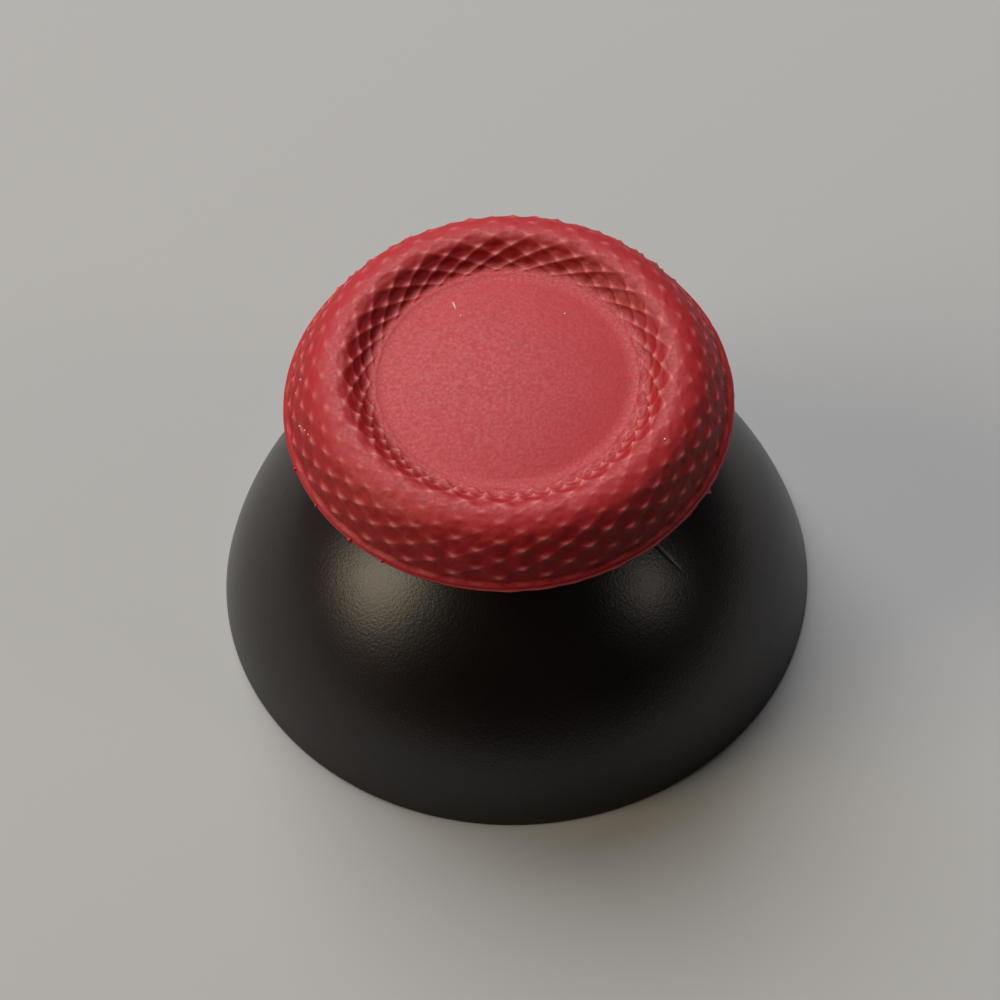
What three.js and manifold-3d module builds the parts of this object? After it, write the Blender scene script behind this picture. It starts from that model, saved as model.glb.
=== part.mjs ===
// Thumb grip of a game controller's stick, in millimetres, +Z up.
//
// It is made of two pieces that are moulded together. The hard black moulding is a hollow dome
// with a neck, a stepped head plate, and a post inside whose socket takes the stick's shaft.
// The soft red cap is rubber moulded over the head plate: a crowned disc and a soft valley, inside
// a thick ring that is covered in a diamond knurl, so that a thumb doesn't slip.
//
// The origin is the centre of the dome's open rim, on the plane that the part stands on.

import * as THREE from 'three';
import { mergeVertices } from 'three/addons/utils/BufferGeometryUtils.js';
import Module from 'manifold-3d';

// Dome: a slice of a sphere that is open below
const rimRadius = 12.4;
const domeHeight = 10.18; // from the rim plane to where the sphere would close
const domeWall = 1.2;
const rimEdge = 0.1; // small flat on both edges of the rim

// Neck, between the dome and the head plate
const neckLength = 2.02; // from the dome's height to the head plate
const neckRadius = 4.5;
const neckFootFillet = 1.5;
const neckTopFillet = 0.8;

// Head plate: its wider flange holds the rubber on
const flangeRadius = 7.6;
const flangeThickness = 0.8;
const undercut = 0.8; // how far the flange reaches past the step below it
const stepThickness = 0.4;

// Post inside the dome, and the socket in it for the stick's shaft
const postRecess = 2.5; // the post's end lies this far inside the rim plane
const postWall = 1.25;
const postFillet = 0.6;
const socketRadius = 2.05;
const socketFlat = 0.45; // how far each of the two flats stands in from the round
const socketDepth = 6.5;
const socketLeadIn = 0.3;

// Rubber cap
const bondGap = 0.02; // keeps the two moulded surfaces from cutting into each other
const capSide = 1.65; // rubber outside the flange, at the widest edge
const capCover = 1.18; // rubber over the flange, under the valley
const partingHeight = 0.71; // from the underside to the widest edge, where the mould parted
const undersideRun = 0.9; // how far the underside turns in from the widest edge
const undersideEase = 0.3; // where that turn starts to rise, in from the widest edge
const lipHeight = 0.1; // plain lip over the widest edge, up to the knurl
const ringRise = 0.9; // from the valley to the ring's crest
const outerRun = 2.49; // from the crest out to the widest edge
const shoulderRun = 0.47; // the outer side leans: the shoulder's pull in from the widest edge
const outerEase = 1.46; // how far the crest rounds over towards the widest edge
const innerRun = 1.58; // from the crest in to the valley's lowest line
const innerEase = 0.72; // how far the crest rounds over towards the valley
const valleyEase = 0.75; // how far the valley reaches up the ring's inner side
const valleyFillet = 2; // between the valley and the disc
const crownRadius = 28; // the disc's top is a slice of a sphere this large

// Knurl: dimples in a diamond lattice leave a peak at each crossing
const knurlCount = 29; // dimples in one row round the ring
const outerRows = 9; // half rows from the lip to the crest
const innerRows = 5; // half rows from the crest towards the valley
const footRun = 0.2; // plain run between the last half row and the valley's lowest line
const rowShrink = 0.8; // each half row inside the crest is this much of the one before
const outerDimple = 0.08; // depth of the dimples outside and on the crest
const innerDimple = 0.16; // depth of the first dimples inside the crest; they shrink with their rows
const saddleShare = 0.8; // the ridge between two peaks sags by this share of a dimple's depth
const knurlTurn = 11.1; // degrees from +X to the first peak above the lip

// How finely round shapes are cut
const columns = 2 * knurlCount;
const domeSteps = 14;
const hollowSteps = 10;
const filletSteps = 4;
const discSteps = 5;
const socketSteps = 8;
const weld = 1e-4;

// Heights and radii that follow from the sizes above
const sphereRadius = (rimRadius ** 2 + domeHeight ** 2) / (2 * domeHeight);
const sphereCentre = domeHeight - sphereRadius;
const hollowRadius = sphereRadius - domeWall;
const postRadius = socketRadius + postWall;
const undersideZ = domeHeight + neckLength;
const flangeZ = undersideZ + stepThickness;
const headTopZ = flangeZ + flangeThickness;
const stepRadius = flangeRadius - undercut;
const capRadius = flangeRadius + bondGap + capSide;
const crestRadius = capRadius - outerRun;
const valleyRadius = crestRadius - innerRun;
const partingZ = undersideZ + partingHeight;
const valleyZ = headTopZ + bondGap + capCover;
const crestZ = valleyZ + ringRise;

const wasm = await Module();
wasm.setup();

// Welds shared vertices, so that the mesh is closed, and drops the empty triangles on the axis.
function closed(geometry) {
  const bare = new THREE.BufferGeometry();
  bare.setAttribute('position', geometry.getAttribute('position'));
  bare.setIndex(geometry.getIndex());
  const welded = mergeVertices(bare, weld);
  const corners = welded.getIndex().array;
  const kept = [];
  for (let t = 0; t < corners.length; t += 3) {
    const [a, b, c] = corners.slice(t, t + 3);
    if (a !== b && b !== c && c !== a) kept.push(a, b, c);
  }
  welded.setIndex(kept);
  return welded;
}

// Turns an outline round the Z axis. Its points run from the axis out, up and back to the axis.
function turned(outline) {
  const start = THREE.MathUtils.degToRad(90 + knurlTurn);
  const lathe = new THREE.LatheGeometry(outline, columns, start, 2 * Math.PI);
  return lathe.rotateX(Math.PI / 2);
}

// Points on a circle in the outline's plane, from one angle to the other.
function arcPoints(r, z, radius, from, to, steps) {
  const arc = new THREE.EllipseCurve(r, z, radius, radius, from, to, to < from);
  return arc.getPoints(steps);
}

function toSolid(geometry) {
  const vertProperties = new Float32Array(geometry.getAttribute('position').array);
  const triVerts = new Uint32Array(geometry.getIndex().array);
  return new wasm.Manifold(new wasm.Mesh({ numProp: 3, vertProperties, triVerts }));
}

function toGeometry(solid) {
  const mesh = solid.getMesh();
  const geometry = new THREE.BufferGeometry();
  geometry.setAttribute('position', new THREE.BufferAttribute(mesh.vertProperties, 3));
  geometry.setIndex(new THREE.BufferAttribute(mesh.triVerts, 1));
  return geometry;
}

// The fillet where the dome runs into the neck touches the sphere from outside.
function neckFoot() {
  const r = neckRadius + neckFootFillet;
  const reach = sphereRadius + neckFootFillet;
  const z = sphereCentre + Math.sqrt(reach ** 2 - r ** 2);
  const touch = Math.atan2(z - sphereCentre, r);
  return { r, z, touch };
}

// The fillet at the post's root touches the hollow's sphere from inside.
function postRoot() {
  const r = postRadius + postFillet;
  const reach = hollowRadius - postFillet;
  const z = sphereCentre + Math.sqrt(reach ** 2 - r ** 2);
  const touch = Math.atan2(z - sphereCentre, r);
  return { r, z, touch };
}

// The height angle at which a sphere of this radius passes the top of the rim's small flats
function rimAngle(radius) {
  return Math.asin((rimEdge - sphereCentre) / radius);
}

function domeOutline() {
  const foot = neckFoot();
  const root = postRoot();
  const hollowRim = Math.sqrt(hollowRadius ** 2 - sphereCentre ** 2);
  const topFilletZ = undersideZ - neckTopFillet;
  return [
    new THREE.Vector2(0, postRecess),
    new THREE.Vector2(postRadius, postRecess),
    ...arcPoints(root.r, root.z, postFillet, Math.PI, root.touch, filletSteps),
    ...arcPoints(0, sphereCentre, hollowRadius, root.touch, rimAngle(hollowRadius), hollowSteps).slice(1),
    new THREE.Vector2(hollowRim + rimEdge, 0),
    new THREE.Vector2(rimRadius - rimEdge, 0),
    ...arcPoints(0, sphereCentre, sphereRadius, rimAngle(sphereRadius), foot.touch, domeSteps),
    ...arcPoints(foot.r, foot.z, neckFootFillet, foot.touch + Math.PI, Math.PI, filletSteps).slice(1),
    ...arcPoints(neckRadius + neckTopFillet, topFilletZ, neckTopFillet, Math.PI, Math.PI / 2, filletSteps),
    new THREE.Vector2(stepRadius, undersideZ),
    new THREE.Vector2(stepRadius, flangeZ),
    new THREE.Vector2(flangeRadius, flangeZ),
    new THREE.Vector2(flangeRadius, headTopZ),
    new THREE.Vector2(0, headTopZ),
  ];
}

// The socket is round with two flats, and its mouth is widened so that the shaft finds it.
function socketCut() {
  const flatY = socketRadius - socketFlat;
  const half = Math.asin(flatY / socketRadius);
  const outline = new THREE.Shape();
  outline.absarc(0, 0, socketRadius, -half, half, false);
  outline.absarc(0, 0, socketRadius, Math.PI - half, Math.PI + half, false);
  const hole = new THREE.ExtrudeGeometry(outline, {
    depth: socketDepth + postRecess,
    bevelEnabled: false,
    curveSegments: socketSteps,
  });
  const mouth = turned([
    new THREE.Vector2(0, 0),
    new THREE.Vector2(socketRadius + socketLeadIn + postRecess, 0),
    new THREE.Vector2(socketRadius - socketFlat, postRecess + socketLeadIn + socketFlat),
    new THREE.Vector2(0, postRecess + socketLeadIn + socketFlat),
  ]);
  return toSolid(closed(indexed(hole))).add(toSolid(closed(mouth)));
}

// ExtrudeGeometry gives loose triangles, which get a plain running index here.
function indexed(geometry) {
  const count = geometry.getAttribute('position').count;
  geometry.setIndex([...Array(count).keys()]);
  return geometry;
}

function domeGeometry() {
  return toGeometry(toSolid(closed(turned(domeOutline()))).subtract(socketCut()));
}

// The ring's outer side, from the widest edge up to the crest
function outerSide() {
  return new THREE.CubicBezierCurve(
    new THREE.Vector2(capRadius, partingZ),
    new THREE.Vector2(capRadius - shoulderRun, (partingZ + crestZ) / 2),
    new THREE.Vector2(crestRadius + outerEase, crestZ),
    new THREE.Vector2(crestRadius, crestZ),
  );
}

// The ring's inner side, from the crest down to the valley
function innerSide() {
  return new THREE.CubicBezierCurve(
    new THREE.Vector2(crestRadius, crestZ),
    new THREE.Vector2(crestRadius - innerEase, crestZ),
    new THREE.Vector2(valleyRadius + valleyEase, valleyZ),
    new THREE.Vector2(valleyRadius, valleyZ),
  );
}

function undersideTurn() {
  return new THREE.QuadraticBezierCurve(
    new THREE.Vector2(capRadius - undersideRun, undersideZ),
    new THREE.Vector2(capRadius - undersideEase, undersideZ),
    new THREE.Vector2(capRadius, partingZ),
  );
}

// The lip's foot, then the knurled points of the outer side up to the crest, evenly apart
function outerPoints() {
  const side = outerSide();
  const length = side.getLength();
  const points = [side.getPointAt(0)];
  for (let row = 0; row <= outerRows; row++) {
    const walked = lipHeight + ((length - lipHeight) * row) / outerRows;
    points.push(side.getPointAt(Math.min(walked / length, 1)));
  }
  return points;
}

// The knurled points of the inner side, which get closer towards the valley, and the valley
function innerPoints() {
  const side = innerSide();
  const knurled = 1 - footRun / side.getLength();
  const points = [];
  for (let row = 1; row <= innerRows; row++) {
    const walked = (1 - rowShrink ** row) / (1 - rowShrink ** innerRows);
    points.push(side.getPointAt(knurled * walked));
  }
  return [...points, side.getPointAt(1)];
}

// From the valley, over its fillet and the crowned disc, to the axis. Both are arcs that touch.
function discPoints() {
  const reach = crownRadius + valleyFillet;
  const slope = Math.asin(valleyRadius / reach);
  const filletZ = valleyZ + valleyFillet;
  const crownZ = filletZ - Math.sqrt(reach ** 2 - valleyRadius ** 2);
  const down = -Math.PI / 2;
  const up = Math.PI / 2;
  return [
    ...arcPoints(valleyRadius, filletZ, valleyFillet, down, down - slope, filletSteps).slice(1),
    ...arcPoints(0, crownZ, crownRadius, up - slope, up, discSteps).slice(1),
  ];
}

// The cap's outline and, in it, the first of the points that carry the knurl
function capOutline() {
  const pocketRadius = flangeRadius + bondGap;
  const lipRadius = stepRadius + bondGap;
  const pocketZ = headTopZ + bondGap;
  const lipZ = flangeZ - bondGap;
  const below = [
    new THREE.Vector2(0, pocketZ),
    new THREE.Vector2(pocketRadius, pocketZ),
    new THREE.Vector2(pocketRadius, lipZ),
    new THREE.Vector2(lipRadius, lipZ),
    new THREE.Vector2(lipRadius, undersideZ),
    ...undersideTurn().getPoints(filletSteps).slice(0, -1),
  ];
  const outline = [...below, ...outerPoints(), ...innerPoints(), ...discPoints()];
  return { outline, firstRow: below.length + 1 };
}

// The outline's direction out of the rubber, square to it, at one of its points
function outward(outline, at) {
  const along = outline[at + 1].clone().sub(outline[at - 1]).normalize();
  return new THREE.Vector2(along.y, -along.x);
}

// How deep a dimple is at this row of points, counted from the lip
function dimpleAt(row) {
  return row > outerRows ? innerDimple * rowShrink ** (row - outerRows - 1) : outerDimple;
}

// Presses the dimples into the turned ring. Each square of the lattice joins two peaks, corner to
// corner, so it is cut into four triangles round a point on that ridge.
function capGeometry() {
  const { outline, firstRow } = capOutline();
  const lathe = turned(outline);
  const points = outline.length;
  const rows = outerRows + innerRows;
  const places = Array.from(lathe.getAttribute('position').array);
  const corners = [];

  const placeOf = (vertex) => new THREE.Vector3().fromArray(places, 3 * vertex);
  const pressed = (vertex, depth, out, angle) => {
    const way = new THREE.Vector3(out.x * Math.cos(angle), out.x * Math.sin(angle), out.y);
    placeOf(vertex).addScaledVector(way, -depth).toArray(places, 3 * vertex);
  };
  const isPeak = (column, row) => (column + row) % 2 === 0;

  for (let column = 0; column <= columns; column++) {
    const angle = THREE.MathUtils.degToRad(knurlTurn) + (2 * Math.PI * column) / columns;
    for (let row = 1; row < rows; row++) {
      if (isPeak(column, row)) continue;
      const at = firstRow + row;
      pressed(column * points + at, dimpleAt(row), outward(outline, at), angle);
    }
  }

  for (let column = 0; column < columns; column++) {
    const angle = THREE.MathUtils.degToRad(knurlTurn) + (2 * Math.PI * (column + 0.5)) / columns;
    for (let at = 0; at < points - 1; at++) {
      const a = column * points + at;
      const b = a + points;
      const c = b + 1;
      const d = a + 1;
      const row = at - firstRow;
      if (row < 0 || row >= rows) {
        corners.push(a, b, d, c, d, b);
        continue;
      }
      const ridge = isPeak(column, row) ? [a, c] : [b, d];
      const middle = places.length / 3;
      placeOf(ridge[0]).add(placeOf(ridge[1])).divideScalar(2).toArray(places, 3 * middle);
      pressed(middle, saddleShare * dimpleAt(row), outward(outline, at), angle);
      corners.push(a, b, middle, b, c, middle, c, d, middle, d, a, middle);
    }
  }

  const geometry = new THREE.BufferGeometry();
  geometry.setAttribute('position', new THREE.Float32BufferAttribute(places, 3));
  geometry.setIndex(corners);
  return closed(geometry);
}

const group = new THREE.Group();

const blackPlastic = new THREE.MeshStandardMaterial({ color: 0x0d0908, roughness: 0.42, metalness: 0 });
const dome = new THREE.Mesh(domeGeometry(), blackPlastic);
dome.name = 'dome_body';
group.add(dome);

const redRubber = new THREE.MeshStandardMaterial({ color: 0xa81c22, roughness: 0.65, metalness: 0 });
const cap = new THREE.Mesh(capGeometry(), redRubber);
cap.name = 'grip_cap';
group.add(cap);

export default group;
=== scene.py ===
# %% [markdown]
# # The thumb grip of a game controller's stick
#
# The real thing is about 25 mm across and comes out of two moulds. First a hard black plastic is
# shot: a hollow dome, a neck, and a head plate that nobody sees. Then that piece goes into a
# second mould, and soft red rubber is shot over its head plate. The rubber is the thumb pad: a
# smooth crowned disc, a soft valley, and a thick ring with a diamond knurl.
#
# This lesson loads the finished engineering model first, as a fixed frame. It then builds the
# two pieces again as fine meshes in the same place, and gives each the finish of its material.

# %% Load the engineering model
import math

import bpy
import numpy as np
from mathutils import Matrix, Vector


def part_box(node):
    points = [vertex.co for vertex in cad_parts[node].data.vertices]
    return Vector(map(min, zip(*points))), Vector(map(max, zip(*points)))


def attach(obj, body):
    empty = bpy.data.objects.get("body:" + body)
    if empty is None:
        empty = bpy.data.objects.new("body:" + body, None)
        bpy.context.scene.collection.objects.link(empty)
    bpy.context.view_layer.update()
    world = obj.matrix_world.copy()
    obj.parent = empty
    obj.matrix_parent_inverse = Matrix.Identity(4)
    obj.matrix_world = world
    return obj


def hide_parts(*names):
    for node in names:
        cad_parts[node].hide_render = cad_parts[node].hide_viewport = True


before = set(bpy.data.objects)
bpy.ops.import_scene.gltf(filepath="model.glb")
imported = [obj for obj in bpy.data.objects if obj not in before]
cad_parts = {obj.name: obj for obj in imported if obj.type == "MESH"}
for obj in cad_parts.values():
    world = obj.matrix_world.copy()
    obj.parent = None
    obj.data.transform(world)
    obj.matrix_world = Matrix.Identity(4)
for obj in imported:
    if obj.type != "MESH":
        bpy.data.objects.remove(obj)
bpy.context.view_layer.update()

# %% [markdown]
# ## Units and heights
#
# Blender works in metres here, and a maker thinks of this part in millimetres. So sizes are
# written in millimetres and multiplied by one value. The heights that both pieces share aren't
# written again: they are read from the boxes of the engineering model, so they can't drift apart.

# %% Units and shared heights
MM = 0.001

body_low, body_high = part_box("dome_body")
pad_low, pad_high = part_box("grip_cap")
rim_z = body_low.z / MM
head_top_z = body_high.z / MM
underside_z = pad_low.z / MM
crest_z = pad_high.z / MM
print("rim", rim_z, "underside", underside_z, "head plate", head_top_z, "crest", crest_z)

# %% [markdown]
# ## The camera
#
# The picture looks down on the grip at about 55 degrees, from the front, through a long lens and
# with a slight roll. A camera object could be turned by hand, but then no number would say why.
# Here its three directions are worked out from the elevation and the roll, and they fill the
# camera's matrix.

# %% Camera
IMAGE_SIZE = 1000
FOCAL_PIXELS = 7036.1
CAMERA_ELEVATION = math.radians(55.464)
CAMERA_ROLL = math.radians(-2.949)
CAMERA_DISTANCE = 300 * MM
CAMERA_RIGHT = -0.705 * MM
CAMERA_UP = 3.346 * MM


def make_camera():
    back = Vector((0, -math.cos(CAMERA_ELEVATION), math.sin(CAMERA_ELEVATION)))
    level = Vector((1, 0, 0))
    upright = back.cross(level)
    right = level * math.cos(CAMERA_ROLL) + upright * math.sin(CAMERA_ROLL)
    up = upright * math.cos(CAMERA_ROLL) - level * math.sin(CAMERA_ROLL)
    place = back * CAMERA_DISTANCE + right * CAMERA_RIGHT + up * CAMERA_UP
    data = bpy.data.cameras.new("camera")
    data.lens = FOCAL_PIXELS / IMAGE_SIZE * data.sensor_width
    data.clip_start = CAMERA_DISTANCE / 100
    data.clip_end = CAMERA_DISTANCE * 100
    camera = bpy.data.objects.new("camera", data)
    bpy.context.scene.collection.objects.link(camera)
    camera.matrix_world = Matrix.Translation(place) @ Matrix((right, up, back)).transposed().to_4x4()
    return camera


bpy.context.scene.camera = make_camera()
print("lens", round(bpy.context.scene.camera.data.lens, 1), "mm")

# %% [markdown]
# ## Working with nodes
#
# Both the geometry and the materials are node trees. A few small helpers keep their code short:
# one adds a node and fills its inputs, one feeds a value or a link into a socket, one adds a
# calculation, and one carries a value from one range over to another.

# %% Node helpers


def feed(tree, socket, value):
    if isinstance(value, bpy.types.NodeSocket):
        tree.links.new(value, socket)
    else:
        socket.default_value = value


def add_node(tree, kind, inputs=None, **settings):
    made = tree.nodes.new(kind)
    for name, value in settings.items():
        setattr(made, name, value)
    for name, value in (inputs or {}).items():
        feed(tree, made.inputs[name], value)
    return made


def calc(tree, operation, *values):
    made = tree.nodes.new("ShaderNodeMath")
    made.operation = operation
    for socket, value in zip(made.inputs, values):
        feed(tree, socket, value)
    return made.outputs[0]


def spread(tree, value, low, high, out_low, out_high):
    inputs = {0: value, 1: low, 2: high, 3: out_low, 4: out_high}
    return add_node(tree, "ShaderNodeMapRange", inputs).outputs[0]


def add_socket(tree, name, kind, value=None, output=False):
    side = "OUTPUT" if output else "INPUT"
    socket = tree.interface.new_socket(name, in_out=side, socket_type=kind)
    if value is not None:
        socket.default_value = value


print("node helpers ready")

# %% [markdown]
# ## Outlines
#
# Each piece is a shape of revolution with something added. So each starts as an outline: the
# distance from the axis and the height, in millimetres, walked from the axis, out, up and back
# to the axis. Round stretches are arcs and Bezier curves, cut into steps along their length.
# `softened` puts a small radius on a run of sharp corners, with one close point on each side of
# it, so that smooth shading doesn't smear over the flat faces.

# %% Outline helpers
FINE_STEPS = 400
SUPPORT_REACH = 1.6


def arc(centre, radius, start, end, steps):
    angles = np.linspace(start, end, steps + 1)
    return [(centre[0] + radius * math.cos(a), centre[1] + radius * math.sin(a)) for a in angles]


def bezier(corners, shares):
    """Points on the Bezier curve of these corners, at these shares of its length."""
    fine = np.linspace(0, 1, FINE_STEPS)
    order = len(corners) - 1
    weights = [math.comb(order, k) * fine**k * (1 - fine) ** (order - k) for k in range(order + 1)]
    line = sum(w[:, None] * np.array(c, float) for w, c in zip(weights, corners))
    walked = np.concatenate([[0], np.cumsum(np.hypot(*np.diff(line, axis=0).T))])
    marks = np.asarray(shares) * walked[-1]
    return list(zip(np.interp(marks, walked, line[:, 0]), np.interp(marks, walked, line[:, 1])))


def curve_length(corners):
    return np.sum(np.hypot(*np.diff(bezier(corners, np.linspace(0, 1, FINE_STEPS // 2)), axis=0).T))


def softened(corners, radius, steps=3):
    """The same run of corners with each inner one rounded."""
    points = [np.array(c, float) for c in corners]
    run = [points[0]]
    for before, here, after in zip(points, points[1:], points[2:]):
        way_in = (before - here) / np.linalg.norm(before - here)
        way_out = (after - here) / np.linalg.norm(after - here)
        run.append(here + way_in * radius * SUPPORT_REACH)
        for t in np.linspace(0, 1, steps + 1):
            run.append(here + way_in * radius * (1 - t) ** 2 + way_out * radius * t**2)
        run.append(here + way_out * radius * SUPPORT_REACH)
    run.append(points[-1])
    return [tuple(p) for p in run]


print("outline helpers ready")

# %% [markdown]
# ## The hard dome's outline
#
# Outside, the skirt is a slice of a sphere, and a fillet carries it into the neck. Inside there
# is an even wall, and a post with a blind socket for the stick's shaft. It could be a sphere
# with a boolean cut, but a turned outline keeps every edge clean, and every radius can be named.

# %% Sizes of the hard moulding, in millimetres
RIM_RADIUS = 12.4
DOME_HEIGHT = 10.18
DOME_WALL = 1.2
NECK_RADIUS = 4.5
FOOT_FILLET = 1.5
NECK_FILLET = 0.8
FLANGE_RADIUS = 7.6
FLANGE_THICKNESS = 0.8
UNDERCUT = 0.8
POST_RECESS = 2.5
POST_RADIUS = 3.3
POST_FILLET = 0.6
SOCKET_RADIUS = 2.05
SOCKET_FLAT = 0.45
SOCKET_DEPTH = 6.5
LEAD_IN = 0.3
EDGE_RADIUS = 0.09
FILLET_STEPS = 8
HOLLOW_STEPS = 28
SKIRT_STEPS = 48
FOOT_STEPS = 12

sphere_radius = (RIM_RADIUS**2 + DOME_HEIGHT**2) / (2 * DOME_HEIGHT)
sphere_z = DOME_HEIGHT - sphere_radius
hollow_radius = sphere_radius - DOME_WALL
flange_z = head_top_z - FLANGE_THICKNESS
step_radius = FLANGE_RADIUS - UNDERCUT
print("sphere radius", round(sphere_radius, 2), "centre height", round(sphere_z, 2))

# %% [markdown]
# ### Socket, post and hollow
#
# On the real cap the hollow leaves room for the stick to tilt, and the post in its middle goes
# over the stick's shaft. One core in the mould forms all of it. So it is one run of the outline,
# from the socket's floor out to the rim, and the wall's thickness comes from two radii round the
# same centre. A Solidify modifier would give a wall too, but no post.

# %% The run inside


def inside_run():
    """From the socket's floor, out of its mouth, over the post and along the hollow."""
    floor_z = POST_RECESS + SOCKET_DEPTH
    root_r = POST_RADIUS + POST_FILLET
    reach = hollow_radius - POST_FILLET
    root_z = sphere_z + math.sqrt(reach**2 - root_r**2)
    touch = math.atan2(root_z - sphere_z, root_r)
    rim_angle = math.asin((rim_z + EDGE_RADIUS * 2 - sphere_z) / hollow_radius)
    post = [
        (0, floor_z),
        (SOCKET_RADIUS, floor_z),
        (SOCKET_RADIUS, POST_RECESS + LEAD_IN),
        (SOCKET_RADIUS + LEAD_IN, POST_RECESS),
        (POST_RADIUS, POST_RECESS),
        (POST_RADIUS, root_z),
    ]
    root = arc((root_r, root_z), POST_FILLET, math.pi, touch, FILLET_STEPS)
    hollow = arc((0, sphere_z), hollow_radius, touch, rim_angle, HOLLOW_STEPS)
    return softened(post, EDGE_RADIUS)[:-1] + root + hollow[1:]


inside_points = inside_run()
print("inside run:", len(inside_points), "points")

# %% [markdown]
# ### Rim
#
# The cap stands on this narrow flat ring. Its two edges are a little rounded on the real part,
# since a mould can't make a sharp one. A Bevel modifier could round them, but here the outline
# has the small radius already, and the flat face stays flat.

# %% The run round the rim


def rim_run():
    """Round the rim's flat face, from the hollow to the outside."""
    inner = math.sqrt(hollow_radius**2 - (rim_z - sphere_z) ** 2)
    high = rim_z + EDGE_RADIUS * 2
    corners = [
        (math.sqrt(hollow_radius**2 - (high - sphere_z) ** 2), high),
        (inner, rim_z),
        (RIM_RADIUS, rim_z),
        (math.sqrt(sphere_radius**2 - (high - sphere_z) ** 2), high),
    ]
    return softened(corners, EDGE_RADIUS)[1:-1]


rim_points = rim_run()
print("rim run:", len(rim_points), "points")

# %% [markdown]
# ### Skirt, neck and head plate
#
# The skirt is what a player sees below the thumb pad. The head plate under the rubber is wider
# than its own foot, so that the rubber hooks round it and can't be pulled off. The fillet at the
# neck's foot touches both the sphere and the neck. Its centre is worked out from their radii, so
# the curve has no kink in the light.

# %% The run outside


def outside_run():
    """Up the dome's outside, through the neck and over the head plate."""
    foot_r = NECK_RADIUS + FOOT_FILLET
    foot_z = sphere_z + math.sqrt((sphere_radius + FOOT_FILLET) ** 2 - foot_r**2)
    touch = math.atan2(foot_z - sphere_z, foot_r)
    rim_angle = math.asin((rim_z + EDGE_RADIUS * 2 - sphere_z) / sphere_radius)
    skirt = arc((0, sphere_z), sphere_radius, rim_angle, touch, SKIRT_STEPS)
    foot = arc((foot_r, foot_z), FOOT_FILLET, touch + math.pi, math.pi, FOOT_STEPS)
    neck_centre = (NECK_RADIUS + NECK_FILLET, underside_z - NECK_FILLET)
    neck = arc(neck_centre, NECK_FILLET, math.pi, math.pi / 2, FILLET_STEPS)
    head = [
        neck[-1],
        (step_radius, underside_z),
        (step_radius, flange_z),
        (FLANGE_RADIUS, flange_z),
        (FLANGE_RADIUS, head_top_z),
        (0, head_top_z),
    ]
    return skirt + foot[1:] + neck + softened(head, EDGE_RADIUS)[1:]


dome_outline = inside_points + rim_points + outside_run()
print("dome outline:", len(dome_outline), "points")

# %% [markdown]
# ## Turning the dome
#
# The outline is turned round the axis in even columns. Two things break the roundness. The
# socket has two flats, so there the distance from the axis is cut off at the flat. And the mould
# for the neck parts in two halves, which leaves a hairline down each side of the skirt. Extra
# columns are put close together at both hairlines, so each is real geometry.

# %% Columns round the dome
COLUMNS = 240
COLUMN_CLEARANCE = math.radians(0.4)
SEAM_ANGLE = math.radians(-35)
SEAM_DEPTH = 0.04
SEAM_ENDS = (6.6, 8.5)
SEAM_WIDTH = 0.055
SEAM_COLUMNS = np.radians([-1.4, -0.9, -0.6, -0.4, -0.2, 0, 0.2, 0.4, 0.6, 0.9, 1.4])


def column_angles():
    even = np.arange(COLUMNS) * 2 * math.pi / COLUMNS
    seams = np.concatenate([SEAM_ANGLE + SEAM_COLUMNS, SEAM_ANGLE + math.pi + SEAM_COLUMNS])
    seams = np.mod(seams, 2 * math.pi)
    away = [np.min(np.abs(np.angle(np.exp(1j * (seams - a))))) for a in even]
    return np.sort(np.concatenate([even[np.array(away) > COLUMN_CLEARANCE], seams]))


dome_angles = column_angles()
print("columns round the dome:", len(dome_angles))

# %% Where each point of the dome goes


def seam_depth(angle, r):
    """How deep the parting line is; it runs down both sides of the skirt and fades out."""
    away = abs(math.remainder(angle - SEAM_ANGLE, math.pi)) * r
    left = np.interp(r, SEAM_ENDS, (1, 0))
    return SEAM_DEPTH * left * math.exp(-((away / SEAM_WIDTH) ** 2))


def dome_point(r, z, angle):
    in_socket = POST_RECESS + LEAD_IN / 2 < z <= POST_RECESS + SOCKET_DEPTH and r < SOCKET_RADIUS + LEAD_IN
    if in_socket:
        flat = SOCKET_RADIUS - SOCKET_FLAT
        r = min(r, flat / max(abs(math.sin(angle)), 1e-6))
    from_centre = math.hypot(r, z - sphere_z)
    if abs(from_centre - sphere_radius) < EDGE_RADIUS and z > EDGE_RADIUS:
        r -= seam_depth(angle, r) * r / from_centre
        z -= seam_depth(angle, r) * (z - sphere_z) / from_centre
    return (r * math.cos(angle) * MM, r * math.sin(angle) * MM, z * MM)


print("parting line:", round(seam_depth(SEAM_ANGLE, SEAM_ENDS[0]), 3), "mm deep where it starts to fade")

# %% Turn the dome into a mesh


def turned_mesh(name, outline, angles, point_of):
    """Turns an outline whose two ends lie on the axis into a closed mesh."""
    ring = outline[1:-1]
    rows = len(ring)
    columns = len(angles)
    vertices = [point_of(r, z, a) for a in angles for r, z in ring]
    vertices += [(0, 0, outline[0][1] * MM), (0, 0, outline[-1][1] * MM)]
    first_pole = rows * columns
    faces = []
    for c in range(columns):
        here, there = c * rows, (c + 1) % columns * rows
        faces += [(here + k, there + k, there + k + 1, here + k + 1) for k in range(rows - 1)]
        faces.append((first_pole, there, here))
        faces.append((first_pole + 1, here + rows - 1, there + rows - 1))
    mesh = bpy.data.meshes.new(name)
    mesh.from_pydata(vertices, [], faces)
    mesh.polygons.foreach_set("use_smooth", [True] * len(mesh.polygons))
    mesh.validate()
    return mesh


def add_piece(name, mesh):
    piece = bpy.data.objects.new(name, mesh)
    bpy.context.scene.collection.objects.link(piece)
    return piece


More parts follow.
